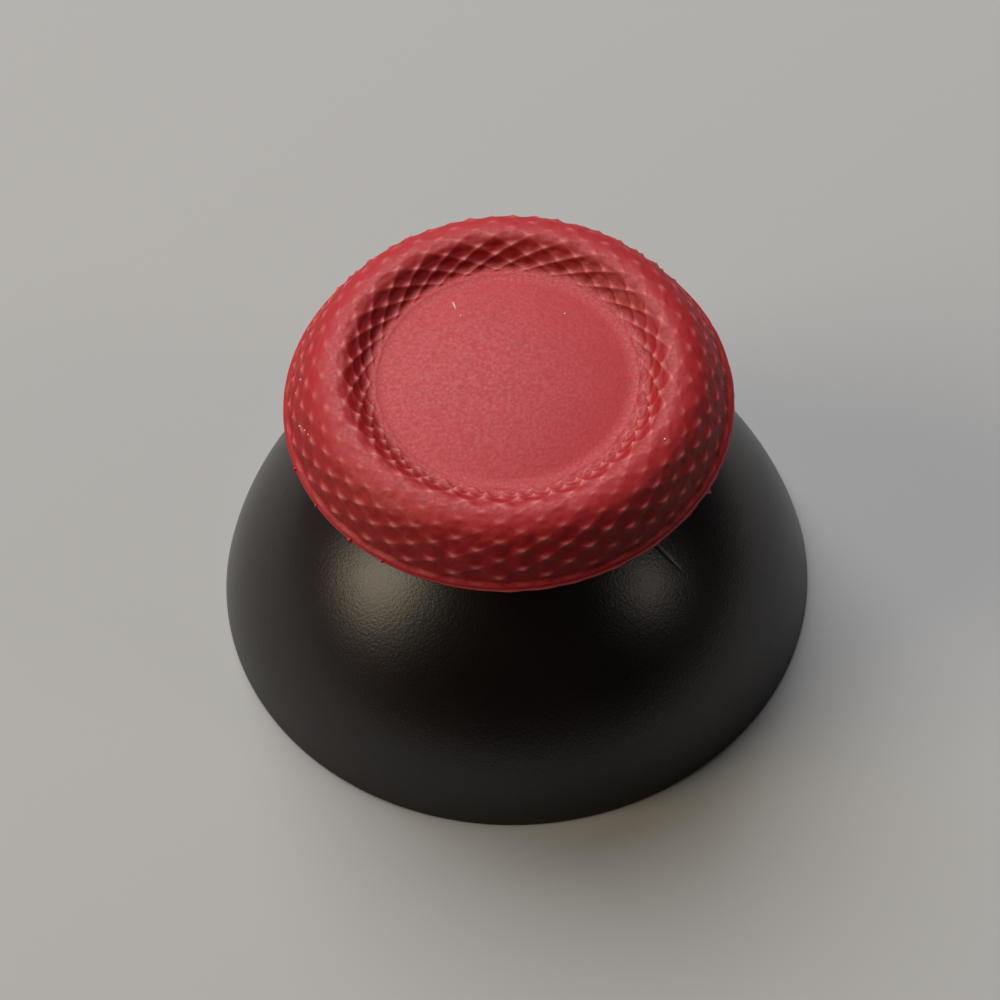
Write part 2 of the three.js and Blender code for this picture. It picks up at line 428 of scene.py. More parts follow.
hard_dome = add_piece("hard_dome", turned_mesh("hard_dome", dome_outline, dome_angles, dome_point))
print("hard dome:", len(hard_dome.data.polygons), "faces")

# %% [markdown]
# ## The rubber cap's outline
#
# The rubber wraps the head plate: a pocket inside, a lip that hooks under the flange, a rounded
# underside, and the widest edge, where the mould parted and left a thin fin of flash. Above it
# come the ring, the valley and the crowned disc, which run into each other without an edge. The
# rows of the knurl are evenly apart outside and get closer down the inner side. Every point of
# this outline also carries five things for the next step: its place in the knurl, counted in
# half rows, how far the dimples are pressed there, how high the ridges between them stand, how
# far the flash grows, and which way is out of the rubber.

# %% Sizes of the rubber, in millimetres
BOND_GAP = 0.02
CAP_RADIUS = 9.27
PARTING_RISE = 0.71
UNDERSIDE_RUN = 0.9
UNDERSIDE_EASE = 0.3
LIP_HEIGHT = 0.08
LEDGE = 0.05
FIN_THICKNESS = 0.035
RING_RISE = 0.9
OUTER_RUN = 2.49
SHOULDER_RUN = 0.47
OUTER_EASE = 1.46
INNER_RUN = 1.58
INNER_EASE = 0.72
VALLEY_EASE = 0.75
VALLEY_FILLET = 2.0
CROWN_RADIUS = 28

OUTER_ROWS = 9
INNER_ROWS = 5
FOOT_RUN = 0.2
ROW_SHRINK = 0.8
STEPS_PER_ROW = 8
UNDERSIDE_STEPS = 10
FLAT_STEPS = 3
CROWN_STEPS = 20
PRESS_ROWS = (0, 0.5, 4, 6, 8.5, 10, 12, 14)
PRESS_SHARES = (0, 0.75, 0.6, 0.25, 0.2, 1, 0.9, 0)
RIDGE_ROWS = (0, 8, 10, 14)
RIDGE_SHARES = (0.2, 0.2, 0.45, 0.55)

parting_z = underside_z + PARTING_RISE
valley_z = crest_z - RING_RISE
crest_radius = CAP_RADIUS - OUTER_RUN
valley_radius = crest_radius - INNER_RUN
print("crest radius", round(crest_radius, 2), "valley height", round(valley_z, 2))

# %% Pocket, lip, underside and fin


def cap_below():
    pocket_radius = FLANGE_RADIUS + BOND_GAP
    lip_radius = step_radius + BOND_GAP
    pocket_z = head_top_z + BOND_GAP
    pocket = [
        (0, pocket_z),
        (pocket_radius, pocket_z),
        (pocket_radius, flange_z - BOND_GAP),
        (lip_radius, flange_z - BOND_GAP),
        (lip_radius, underside_z),
        (CAP_RADIUS - UNDERSIDE_RUN, underside_z),
    ]
    turn = [
        pocket[-1],
        (CAP_RADIUS - UNDERSIDE_EASE, underside_z),
        (CAP_RADIUS - LEDGE / 2, parting_z - FIN_THICKNESS),
    ]
    underside = bezier(turn, np.linspace(0, 1, UNDERSIDE_STEPS + 1))
    return softened(pocket, EDGE_RADIUS / 2)[:-1] + underside


def cap_fin():
    """The fin of flash: its two outer points grow in the next step."""
    tip = CAP_RADIUS - LEDGE / 2
    return [(tip, parting_z - FIN_THICKNESS / 2), (tip, parting_z + FIN_THICKNESS / 2)]


below, fin = cap_below(), cap_fin()
print("below the parting edge:", len(below), "points")

# %% [markdown]
# ### The ring's two sides
#
# The ring holds the thumb. Its outer side leans in from the parting edge and rounds over into
# the crest, and its inner side drops into the valley, a little steeper. Each side is one Bezier
# curve. Both are level where they meet at the crest, and the inner one is level again in the
# valley, so light runs over the joints without a line. The knurl's rows are marked along these
# curves by length, not by height, so the dishes look even from the side too.

# %% The ring, cut into rows of the knurl


def ring_outside():
    """The lip, then the outer side from row 0 of the knurl up to the crest."""
    side = [
        (CAP_RADIUS - LEDGE, parting_z + FIN_THICKNESS),
        (CAP_RADIUS - SHOULDER_RUN, (parting_z + crest_z) / 2),
        (crest_radius + OUTER_EASE, crest_z),
        (crest_radius, crest_z),
    ]
    first = LIP_HEIGHT / curve_length(side)
    rows = np.linspace(first, 1, OUTER_ROWS * STEPS_PER_ROW + 1)
    return bezier(side, np.linspace(0, first, FLAT_STEPS + 1)[:-1]), bezier(side, rows)


def ring_inside():
    """The inner side: the rows that get closer, and then the rest of the way to the valley."""
    side = [
        (crest_radius, crest_z),
        (crest_radius - INNER_EASE, crest_z),
        (valley_radius + VALLEY_EASE, valley_z),
        (valley_radius, valley_z),
    ]
    last = 1 - FOOT_RUN / curve_length(side)
    rows = np.arange(1, INNER_ROWS * STEPS_PER_ROW + 1) / STEPS_PER_ROW
    walked = last * (1 - ROW_SHRINK**rows) / (1 - ROW_SHRINK**INNER_ROWS)
    return bezier(side, walked), bezier(side, np.linspace(last, 1, FLAT_STEPS + 1)[1:])


lip, outside = ring_outside()
inside, foot = ring_inside()
print("ring:", len(outside), "points outside and", len(inside), "inside")

# %% [markdown]
# ### The disc
#
# The thumb rests on the disc, which stands about 0.4 mm higher in its middle than at its edge.
# A slice of a large sphere gives that crown, and a fillet that touches both it and the valley
# keeps the foot of the ring soft. A flat disc would be lit evenly, and on a real one the light
# falls off slowly from one side to the other.

# %% The valley's fillet and the crowned disc


def disc_run():
    """From the valley over its fillet and the crowned disc to the axis: two arcs that touch."""
    reach = CROWN_RADIUS + VALLEY_FILLET
    slope = math.asin(valley_radius / reach)
    fillet_z = valley_z + VALLEY_FILLET
    crown_z = fillet_z - math.sqrt(reach**2 - valley_radius**2)
    down, up = -math.pi / 2, math.pi / 2
    fillet = arc((valley_radius, fillet_z), VALLEY_FILLET, down, down - slope, FILLET_STEPS)
    return fillet[1:] + arc((0, crown_z), CROWN_RADIUS, up - slope, up, CROWN_STEPS)[1:]


disc = disc_run()
print("disc:", len(disc), "points, middle at", round(disc[-1][1], 2), "mm")

# %% [markdown]
# ### What each point carries
#
# The next step has to know where it is on the outline. That could be worked out there from
# heights, but the outline already knows it. So it is handed over as attributes of a plain line
# of edges, and Geometry Nodes reads them point by point.

# %% The outline as an object with attributes


def outward_of(points):
    """The direction out of the rubber at each point, square to the outline."""
    line = np.array(points)
    along = np.gradient(line, axis=0)
    along /= np.linalg.norm(along, axis=1)[:, None]
    return np.column_stack([along[:, 1], np.zeros(len(line)), -along[:, 0]])


def cap_outline_object():
    knurled = outside + inside
    points = below + fin + lip + knurled + foot + disc
    rows = np.zeros(len(points))
    press = np.zeros(len(points))
    ridge = np.zeros(len(points))
    flash = np.zeros(len(points))
    first = len(below) + len(fin) + len(lip)
    on_knurl = slice(first, first + len(knurled))
    rows[on_knurl] = np.arange(len(knurled)) / STEPS_PER_ROW
    press[on_knurl] = np.interp(rows[on_knurl], PRESS_ROWS, PRESS_SHARES)
    ridge[on_knurl] = np.interp(rows[on_knurl], RIDGE_ROWS, RIDGE_SHARES)
    flash[len(below) : len(below) + len(fin)] = 1
    mesh = bpy.data.meshes.new("cap_outline")
    edges = [(k, k + 1) for k in range(len(points) - 1)]
    mesh.from_pydata([(r * MM, 0, z * MM) for r, z in points], edges, [])
    for name, values in (("half_row", rows), ("press", press), ("ridge", ridge), ("flash", flash)):
        mesh.attributes.new(name, "FLOAT", "POINT").data.foreach_set("value", values)
    outward = mesh.attributes.new("outward", "FLOAT_VECTOR", "POINT")
    outward.data.foreach_set("vector", outward_of(points).ravel())
    return add_piece("rubber_outline", mesh)


rubber_outline = cap_outline_object()
print("cap outline:", len(rubber_outline.data.vertices), "points")

# %% [markdown]
# ## The knurl, as a rule
#
# The knurl is a lattice of diamonds that runs over the whole ring. Modelling one dimple and
# placing 400 copies would leave seams, and a bump map would give the edge of the ring no teeth.
# But the lattice follows a rule, so Geometry Nodes can make it: a grid is wrapped round the
# outline, and each point moves in by the depth of a dish. Two diagonal coordinates count the
# diamonds. Along their lines a thin ridge stays, which sags in its middle, so at each crossing
# there stands a small star with four arms, and between the stars lies a wide flat dish.
# The same tree grows the flash.

# %% Reading the outline inside a tree


def sample(tree, outline, kind, name, index):
    """Reads one value of the outline at the point with this index."""
    if name == "position":
        value = add_node(tree, "GeometryNodeInputPosition").outputs[0]
    else:
        value = add_node(tree, "GeometryNodeInputNamedAttribute", {"Name": name}, data_type=kind).outputs[0]
    inputs = {"Geometry": outline, "Value": value, "Index": index}
    return add_node(tree, "GeometryNodeSampleIndex", inputs, data_type=kind).outputs[0]


def parts_of(tree, vector):
    return add_node(tree, "ShaderNodeSeparateXYZ", {"Vector": vector}).outputs


def turned_point(tree, radius, height, angle):
    """The place at this distance from the axis, this height and this angle round it."""
    inputs = {
        "X": calc(tree, "MULTIPLY", radius, calc(tree, "COSINE", angle)),
        "Y": calc(tree, "MULTIPLY", radius, calc(tree, "SINE", angle)),
        "Z": height,
    }
    return add_node(tree, "ShaderNodeCombineXYZ", inputs).outputs[0]


def seeded_noise(tree, vector, per_mm, seed):
    inputs = {"Vector": vector, "W": seed, "Scale": per_mm / MM, "Detail": 1.0}
    return add_node(tree, "ShaderNodeTexNoise", inputs, noise_dimensions="4D").outputs[0]


def wrapped_grid(tree, outline, columns):
    """A flat grid with a column for each step round and a row for each point of the outline."""
    size = add_node(tree, "GeometryNodeAttributeDomainSize", {"Geometry": outline}, component="MESH")
    points = size.outputs["Point Count"]
    columns = calc(tree, "ADD", columns, 1)
    inputs = {"Size X": 1.0, "Size Y": 1.0, "Vertices X": columns, "Vertices Y": points}
    grid = add_node(tree, "GeometryNodeMeshGrid", inputs).outputs["Mesh"]
    across = parts_of(tree, add_node(tree, "GeometryNodeInputPosition").outputs[0])
    turn = calc(tree, "ADD", across["X"], 0.5)
    walk = calc(tree, "ADD", across["Y"], 0.5)
    index = calc(tree, "ROUND", calc(tree, "MULTIPLY", walk, calc(tree, "SUBTRACT", points, 1)))
    return grid, turn, index


print("helpers for the knurl tree ready")

# %% [markdown]
# ### Stars, dishes and soft lumps
#
# Each diagonal coordinate counts up by one from ridge to ridge. Folded about its middle, it says
# how near the closest ridge is. A power of that makes the ridge thin, and the other diagonal
# says how far along the ridge the nearest star is. Real rubber shrinks unevenly as it cools, so
# the dishes vary in depth, and the whole ring has shallow lumps that catch the light.

# %% Depth of the knurl
WANDER_PER_MM = 0.9
LUMPS_PER_MM = 1.6
RAGGED_PER_MM = 1.4


def star_height(tree, given, turn, half_row, ridge):
    """1 where two ridges cross, less along a ridge, and 0 in the middle of a dish."""
    half_column = calc(tree, "MULTIPLY", turn, calc(tree, "MULTIPLY", given["Dimples round"], 2))
    near = []
    for way in ("ADD", "SUBTRACT"):
        diagonal = calc(tree, "MULTIPLY", calc(tree, way, half_column, half_row), 0.5)
        from_middle = calc(tree, "SUBTRACT", calc(tree, "FLOORED_MODULO", diagonal, 1.0), 0.5)
        near.append(calc(tree, "MULTIPLY", calc(tree, "ABSOLUTE", from_middle), 2.0))
    ridges = []
    for across_ridge, along_ridge in (near, reversed(near)):
        arm = calc(tree, "POWER", along_ridge, given["Arm sharpness"])
        height = spread(tree, arm, 0.0, 1.0, ridge, 1.0)
        thin = calc(tree, "POWER", across_ridge, given["Ridge sharpness"])
        ridges.append(calc(tree, "MULTIPLY", thin, height))
    return calc(tree, "MULTIPLY", calc(tree, "ADD", *ridges), 0.5)


def knurl_depth(tree, given, place, pressed, on_knurl):
    """How far the surface moves in: an uneven dish, and the soft lumps."""
    wander = calc(tree, "SUBTRACT", seeded_noise(tree, place, WANDER_PER_MM, given["Seed"]), 0.5)
    uneven = calc(tree, "MULTIPLY_ADD", wander, calc(tree, "MULTIPLY", given["Unevenness"], 2.0), 1.0)
    lump_seed = calc(tree, "ADD", given["Seed"], 2.0)
    lump = calc(tree, "SUBTRACT", seeded_noise(tree, place, LUMPS_PER_MM, lump_seed), 0.5)
    lumpy = calc(tree, "MULTIPLY", on_knurl, calc(tree, "MULTIPLY", lump, given["Lump depth"]))
    return calc(tree, "MULTIPLY_ADD", calc(tree, "MULTIPLY", pressed, uneven), given["Dimple depth"], lumpy)


print("knurl depth ready")

# %% [markdown]
# ### Flash at the parting edge
#
# Where the two halves of the rubber's mould meet, a film of rubber creeps out and is torn off.
# A ragged fringe is left, longest on one side, and one nub. A loose strip of faces could be put
# there. Letting two points of the outline grow outwards keeps the rubber one closed skin.

# %% Growth of the flash
FLASH_FADES = (0.2, 0.7)
FLASH_LEAST = 0.15


def flash_visible(tree, given, angle):
    """1 on the side where the flash is longest, and little on the far side."""
    towards = calc(tree, "COSINE", calc(tree, "SUBTRACT", angle, given["Flash angle"]))
    return spread(tree, towards, *FLASH_FADES, FLASH_LEAST, 1.0)


def flash_growth(tree, given, place, angle, visible):
    ragged = seeded_noise(tree, place, RAGGED_PER_MM, calc(tree, "ADD", given["Seed"], 1.0))
    fringe = calc(tree, "MULTIPLY", calc(tree, "MULTIPLY", ragged, visible), given["Flash reach"])
    from_nub = calc(tree, "DIVIDE", calc(tree, "SUBTRACT", angle, given["Nub angle"]), given["Nub width"])
    nub = calc(tree, "EXPONENT", calc(tree, "MULTIPLY", calc(tree, "MULTIPLY", from_nub, from_nub), -1.0))
    return calc(tree, "MULTIPLY_ADD", nub, given["Nub reach"], fringe)


print("flash ready")

# %% [markdown]
# ### The whole tree
#
# The tree's inputs are the sizes that a maker would ask for. It moves the grid's points to their
# places, and it also stores three masks on the surface, so that the rubber's material can paint
# shade into the dishes, paint a highlight on the stars, and make the flash paler. At the end it
# closes the seam and the two poles, and gives the mesh its material.

# %% Geometry Nodes tree of the rubber cap
KNURL_INPUTS = {
    "Outline": "NodeSocketGeometry",
    "Columns": "NodeSocketInt",
    "Dimples round": "NodeSocketInt",
    "Dimple depth": "NodeSocketFloat",
    "Ridge sharpness": "NodeSocketFloat",
    "Arm sharpness": "NodeSocketFloat",
    "Unevenness": "NodeSocketFloat",
    "Lump depth": "NodeSocketFloat",
    "First peak": "NodeSocketFloat",
    "Flash reach": "NodeSocketFloat",
    "Flash angle": "NodeSocketFloat",
    "Nub reach": "NodeSocketFloat",
    "Nub angle": "NodeSocketFloat",
    "Nub width": "NodeSocketFloat",
    "Seed": "NodeSocketFloat",
    "Finish": "NodeSocketMaterial",
}
KNURL_ONSET = 2.5
CLOSING_DISTANCE = 0.001 * MM


def finished_mesh(tree, grid, masks, places, finish):
    """Stores the masks, moves the points, closes the seam and the poles, and sets the material."""
    for name, value in masks.items():
        inputs = {"Geometry": grid, "Name": name, "Value": value}
        grid = add_node(tree, "GeometryNodeStoreNamedAttribute", inputs, data_type="FLOAT").outputs[0]
    shaped = add_node(tree, "GeometryNodeSetPosition", {"Geometry": grid, "Position": places}).outputs[0]
    inputs = {"Geometry": shaped, "Distance": CLOSING_DISTANCE}
    closed = add_node(tree, "GeometryNodeMergeByDistance", inputs).outputs[0]
    smooth = add_node(tree, "GeometryNodeSetShadeSmooth", {"Geometry": closed}).outputs[0]
    real = add_node(tree, "GeometryNodeRealizeInstances", {"Geometry": smooth}).outputs[0]
    inputs = {"Geometry": real, "Material": finish}
    return add_node(tree, "GeometryNodeSetMaterial", inputs).outputs[0]


def knurl_tree():
    tree = bpy.data.node_groups.new("Turned and knurled rubber", "GeometryNodeTree")
    for name, kind in KNURL_INPUTS.items():
        add_socket(tree, name, kind)
    add_socket(tree, "Piece", "NodeSocketGeometry", output=True)
    given = add_node(tree, "NodeGroupInput").outputs
    outline = given["Outline"]
    grid, turn, index = wrapped_grid(tree, outline, given["Columns"])
    angle = calc(tree, "MULTIPLY_ADD", turn, 2 * math.pi, given["First peak"])

    line = parts_of(tree, sample(tree, outline, "FLOAT_VECTOR", "position", index))
    outward = parts_of(tree, sample(tree, outline, "FLOAT_VECTOR", "outward", index))
    names = ("half_row", "press", "ridge", "flash")
    half_row, press, ridge, flash = (sample(tree, outline, "FLOAT", name, index) for name in names)
    smooth_place = turned_point(tree, line["X"], line["Z"], angle)

    star = star_height(tree, given, turn, half_row, ridge)
    dimple = calc(tree, "MULTIPLY", calc(tree, "SUBTRACT", 1.0, star), press)
    on_knurl = calc(tree, "MINIMUM", calc(tree, "MULTIPLY", press, KNURL_ONSET), 1.0)
    depth = knurl_depth(tree, given, smooth_place, dimple, on_knurl)
    visible = flash_visible(tree, given, angle)
    grown = calc(tree, "MULTIPLY", flash, flash_growth(tree, given, smooth_place, angle, visible))

    inward_r = calc(tree, "MULTIPLY", outward["X"], depth)
    radius = calc(tree, "ADD", calc(tree, "SUBTRACT", line["X"], inward_r), grown)
    height = calc(tree, "SUBTRACT", line["Z"], calc(tree, "MULTIPLY", outward["Z"], depth))
    # The dimple and peak masks carry painted shade and a painted highlight in the material; the fin mask a
    # paler flash.
    masks = {
        "dimple": dimple,
        "peak": calc(tree, "MULTIPLY", star, on_knurl),
        "fin": calc(tree, "MULTIPLY", flash, visible),
    }
    places = turned_point(tree, radius, height, angle)
    finished = finished_mesh(tree, grid, masks, places, given["Finish"])
    feed(tree, add_node(tree, "NodeGroupOutput").inputs["Piece"], finished)
    return tree


knurl_nodes = knurl_tree()
print("knurl tree:", len(knurl_nodes.nodes), "nodes")

# %% [markdown]
# ## Shared effects
#
# Both materials come out of a mould, so both have a fine moulded skin, and both have caught a
# little dust. Each effect is a node group, built once and placed in each material with its own
# values. A group gives out only heights and masks; the shader stays in the material.

# %% Moulded skin, as a shader group
MOTTLE_IN_HEIGHT = 0.3


def in_millimetres(tree):
    """Object coordinates, counted in millimetres."""
    where = add_node(tree, "ShaderNodeTexCoord").outputs["Object"]
    scale = (1 / MM, 1 / MM, 1 / MM)
    return add_node(tree, "ShaderNodeVectorMath", {0: where, 1: scale}, operation="MULTIPLY").outputs[0]


def noise(tree, place, per_mm, detail):
    inputs = {"Vector": place, "Scale": per_mm, "Detail": detail}
    return add_node(tree, "ShaderNodeTexNoise", inputs).outputs[0]


def skin_group():
    tree = bpy.data.node_groups.new("Moulded skin", "ShaderNodeTree")
    add_socket(tree, "Place", "NodeSocketVector")
    add_socket(tree, "Grains per mm", "NodeSocketFloat", 6.0)
    add_socket(tree, "Mottle per mm", "NodeSocketFloat", 0.5)
    for name in ("Height", "Grain", "Mottle"):
        add_socket(tree, name, "NodeSocketFloat", output=True)
    given = add_node(tree, "NodeGroupInput").outputs
    grain = noise(tree, given["Place"], given["Grains per mm"], 3.0)
    mottle = noise(tree, given["Place"], given["Mottle per mm"], 2.0)
    out = add_node(tree, "NodeGroupOutput").inputs
    feed(tree, out["Height"], calc(tree, "MULTIPLY_ADD", mottle, MOTTLE_IN_HEIGHT, grain))
    feed(tree, out["Grain"], grain)
    feed(tree, out["Mottle"], mottle)
    return tree


skin = skin_group()
print("shared group:", skin.name)

# %% [markdown]
# ### Fine dust
#
# Dust lies in single specks, not as a film. A Voronoi pattern has one middle for each of its
# cells, so a speck goes there, and a random share of the cells decides which ones get it. The
# specks that are large enough to stand up get geometry of their own, further down.

# %% Fine dust, as a shader group


def dust_group():
    """Sparse pale specks: most cells of a Voronoi pattern stay empty."""
    tree = bpy.data.node_groups.new("Dust specks", "ShaderNodeTree")
    add_socket(tree, "Place", "NodeSocketVector")
    add_socket(tree, "Cells per mm", "NodeSocketFloat", 1.2)
    add_socket(tree, "Share of cells", "NodeSocketFloat", 0.06)
    add_socket(tree, "Speck size", "NodeSocketFloat", 0.05)
    add_socket(tree, "Dust", "NodeSocketFloat", output=True)
    given = add_node(tree, "NodeGroupInput").outputs
    inputs = {"Vector": given["Place"], "Scale": given["Cells per mm"]}
    cells = add_node(tree, "ShaderNodeTexVoronoi", inputs)
    chance = parts_of(tree, cells.outputs["Color"])["X"]
    chosen = calc(tree, "LESS_THAN", chance, given["Share of cells"])
    near = calc(tree, "LESS_THAN", cells.outputs["Distance"], given["Speck size"])
    feed(tree, add_node(tree, "NodeGroupOutput").inputs["Dust"], calc(tree, "MULTIPLY", chosen, near))
    return tree


dust = dust_group()
print("shared group:", dust.name)

# %% [markdown]
# ## Starting a finish
#
# A finish starts as an empty material with one Principled shader. These helpers make that
# start, place a shared group in it, mix two colours by a mask, and turn a height into a bump.

# %% Material helpers


def add_group(tree, group, **values):
    made = tree.nodes.new("ShaderNodeGroup")
    made.node_tree = group
    for name, value in values.items():
        feed(tree, made.inputs[name.replace("_", " ")], value)
    return made


def new_material(name):
    material = bpy.data.materials.new(name)
    material.use_nodes = True
    tree = material.node_tree
    tree.nodes.clear()
    shader = add_node(tree, "ShaderNodeBsdfPrincipled")
    out = add_node(tree, "ShaderNodeOutputMaterial")
    feed(tree, out.inputs["Surface"], shader.outputs[0])
    return material, tree, shader.inputs


def mixed(tree, share, first, second):
    made = add_node(tree, "ShaderNodeMix", data_type="RGBA")
    feed(tree, made.inputs[0], share)
    feed(tree, made.inputs[6], first)
    feed(tree, made.inputs[7], second)
    return made.outputs[2]


def bumped(tree, height, distance):
    inputs = {"Height": height, "Distance": distance, "Strength": 1.0}
    return add_node(tree, "ShaderNodeBump", inputs).outputs[0]


def stored_mask(tree, name):
    """A mask that the Geometry Nodes tree stored on the mesh."""
    return add_node(tree, "ShaderNodeAttribute", attribute_name=name).outputs["Fac"]


DUST_COLOUR = (0.62, 0.58, 0.55, 1)
NOISE_MIDDLE = (0.3, 0.7)
print("material helpers ready")

# %% [markdown]
# ## Black plastic
#
# The dome is a satin black, a little warm, with the orange-peel skin of a spark-eroded mould.
# A smooth black would show two hard-edged lamps. The roughness spreads them into wide glows, and
# a bump of a hundredth of a millimetre makes the glows grainy, as on the real part.

# %% Black plastic
PLASTIC_TINTS = (0.0080, 0.0052, 0.0048, 1), (0.0115, 0.0062, 0.0058, 1)
PLASTIC_ROUGHNESS = (0.30, 0.34)
PLASTIC_BUMP = 0.010 * MM
PLASTIC_IOR = 1.5


def black_plastic():
    material, tree, shader = new_material("black_plastic")
    place = in_millimetres(tree)
    grain = add_group(tree, skin, Place=place, Grains_per_mm=8.0, Mottle_per_mm=0.25).outputs
    specks = add_group(tree, dust, Place=place, Cells_per_mm=0.9, Share_of_cells=0.01, Speck_size=0.03)
    tint = mixed(tree, grain["Mottle"], *PLASTIC_TINTS)
    feed(tree, shader["Base Color"], mixed(tree, specks.outputs["Dust"], tint, DUST_COLOUR))
    feed(tree, shader["Roughness"], spread(tree, grain["Mottle"], *NOISE_MIDDLE, *PLASTIC_ROUGHNESS))
    feed(tree, shader["Normal"], bumped(tree, grain["Height"], PLASTIC_BUMP))
    shader["IOR"].default_value = PLASTIC_IOR
    return material


plastic_finish = black_plastic()
hard_dome.data.materials.append(plastic_finish)
print("material:", plastic_finish.name)

# %% [markdown]
# ## Red rubber
#
# The rubber is a deep red that lets a little light in, so it gets a little subsurface light,
# which goes furthest in red. Its dishes get painted shade, a darker and more saturated red, and
# its stars get a painted highlight, a paler red. The thin flash is paler too. A pattern in the
# shader would never line up with the knurl, so the three masks that were stored on the surface
# carry those tints.

# %% Red rubber
RUBBER_TINTS = (0.46, 0.014, 0.022, 1), (0.40, 0.010, 0.016, 1)
RUBBER_ROUGHNESS = (0.48, 0.66)
RUBBER_BUMP = 0.011 * MM
RUBBER_IOR = 1.5
# Painted shade for the dish floors, and a painted highlight for the stars.
DISH_PAINTED_SHADE = (0.30, 0.003, 0.005, 1)
STAR_PAINTED_HIGHLIGHT = (0.70, 0.19, 0.17, 1)
FLASH_COLOUR = (0.60, 0.22, 0.24, 1)
# Each mask has its colour, and the mask's range that is carried over to a range of that colour.
MASK_TINTS = {
    "dimple": (DISH_PAINTED_SHADE, (0.0, 0.8, 0.0, 0.9)),
    "peak": (STAR_PAINTED_HIGHLIGHT, (0.1, 0.9, 0.0, 0.75)),
    "fin": (FLASH_COLOUR, (0.0, 1.0, 0.0, 0.4)),
}
SUBSURFACE_WEIGHT = 0.15
SUBSURFACE_RADIUS = (1.0, 0.10, 0.05)
SUBSURFACE_SCALE = 0.8 * MM


def red_rubber():
    material, tree, shader = new_material("red_rubber")
    place = in_millimetres(tree)
    grain = add_group(tree, skin, Place=place, Grains_per_mm=6.5, Mottle_per_mm=0.8).outputs
    specks = add_group(tree, dust, Place=place, Cells_per_mm=0.9, Share_of_cells=0.05, Speck_size=0.04)
    tint = mixed(tree, grain["Mottle"], *RUBBER_TINTS)
    # The dish and peak masks paint shade into the dishes and a highlight on the stars; the fin mask makes
    # the flash paler.
    for name, (colour, ranges) in MASK_TINTS.items():
        tint = mixed(tree, spread(tree, stored_mask(tree, name), *ranges), tint, colour)
    feed(tree, shader["Base Color"], mixed(tree, specks.outputs["Dust"], tint, DUST_COLOUR))
    feed(tree, shader["Roughness"], spread(tree, grain["Grain"], *NOISE_MIDDLE, *RUBBER_ROUGHNESS))
    feed(tree, shader["Normal"], bumped(tree, grain["Height"], RUBBER_BUMP))
    shader["IOR"].default_value = RUBBER_IOR
    shader["Subsurface Weight"].default_value = SUBSURFACE_WEIGHT
    shader["Subsurface Radius"].default_value = SUBSURFACE_RADIUS
    shader["Subsurface Scale"].default_value = SUBSURFACE_SCALE
    return material


rubber_finish = red_rubber()
print("material:", rubber_finish.name)

# %% [markdown]
# ## Making the rubber cap
#
# The tree goes on the outline as a modifier. Its inputs are set by their sockets' identifiers
# before the object is first evaluated. Then the result is taken as a plain mesh, and the outline
# with its modifier goes away.

# %% Run the tree and keep its result
KNURL = {
    "Columns": 464,
    "Dimples round": 29,
    "Dimple depth": 0.2 * MM,
    "Ridge sharpness": 3.4,
    "Arm sharpness": 1.4,
    "Unevenness": 0.3,
    "Lump depth": 0.16 * MM,
    "First peak": math.radians(11.1),
    "Flash reach": 0.14 * MM,
    "Flash angle": math.radians(320),
    "Nub reach": 0.2 * MM,
    "Nub angle": math.radians(360 - 31.6),
    "Nub width": math.radians(0.5),
    "Seed": 4.0,
    "Finish": rubber_finish,
}


def baked(source, tree, values, name):
    modifier = source.modifiers.new(tree.name, "NODES")
    modifier.node_group = tree
    for item in tree.interface.items_tree:
        if item.name in values:
            modifier[item.identifier] = values[item.name]
    source.update_tag()
    bpy.context.view_layer.update()
    evaluated = source.evaluated_get(bpy.context.evaluated_depsgraph_get())
    mesh = bpy.data.meshes.new_from_object(evaluated)
    mesh.name = name
    bpy.data.objects.remove(source)
    return add_piece(name, mesh)


rubber_cap = baked(rubber_outline, knurl_nodes, KNURL, "rubber_cap")
rubber_cap.data.calc_loop_triangles()
print("rubber cap:", len(rubber_cap.data.loop_triangles), "triangles")
print("its materials:", list(rubber_cap.data.materials))

# %% [markdown]
# ## Tying the pieces to the frame
#
# Each fine piece stands for one node of the engineering model, whose own mesh is hidden, and
# moves with the same body.

# %% Bodies and replaced nodes
for piece, node, slot in (
    (hard_dome, "dome_body", "hard_plastic"),
    (rubber_cap, "grip_cap", "grip_rubber"),
):
    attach(piece, "root")
    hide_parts(node)
    print(piece.name, "stands for", node)

# %% [markdown]
# ## Grains, a fibre and bumps of flash
#
# Soft rubber holds on to dust. The finest of it is a mask in the materials. The larger grains and
# one short fibre stand up from the rubber, so they are small solid pieces: a grain is a rough
# ball, and a fibre is a row of them. The parting edge also carries a few bumps, where rubber
# crept into the mould's edge. Each one is placed by its direction, its distance from the axis
# and its height, and then dropped on to the nearest point of the finished rubber.

# %% Places of the small pieces
# Each entry says the azimuth in degrees, the distance from the axis, the height, and the size.
GRAINS = [
    (175.3, 8.59, 14.42, 0.05),
    (189.5, 8.74, 14.15, 0.05),
    (192.0, 8.64, 14.34, 0.04),
    (194.2, 8.56, 14.47, 0.035),
    (328.0, 7.40, 15.41, 0.05),
    (50.3, 3.97, 14.77, 0.045),
    (118.7, 3.63, 14.81, 0.04),
]
FIBRE_BALLS = 16
FIBRE_START = (117.3, 4.50, 14.72)
FIBRE_BEND = 1.4
FIBRE_REACH = 0.42
FIBRE_THICKNESS = (0.018, 0.016)
FLASH_BUMPS = [
    (197.2, 9.27, 12.91, 0.09),
    (209.8, 9.27, 12.91, 0.08),
    (223.5, 9.27, 12.91, 0.11),
    (234.0, 9.27, 12.91, 0.08),
]


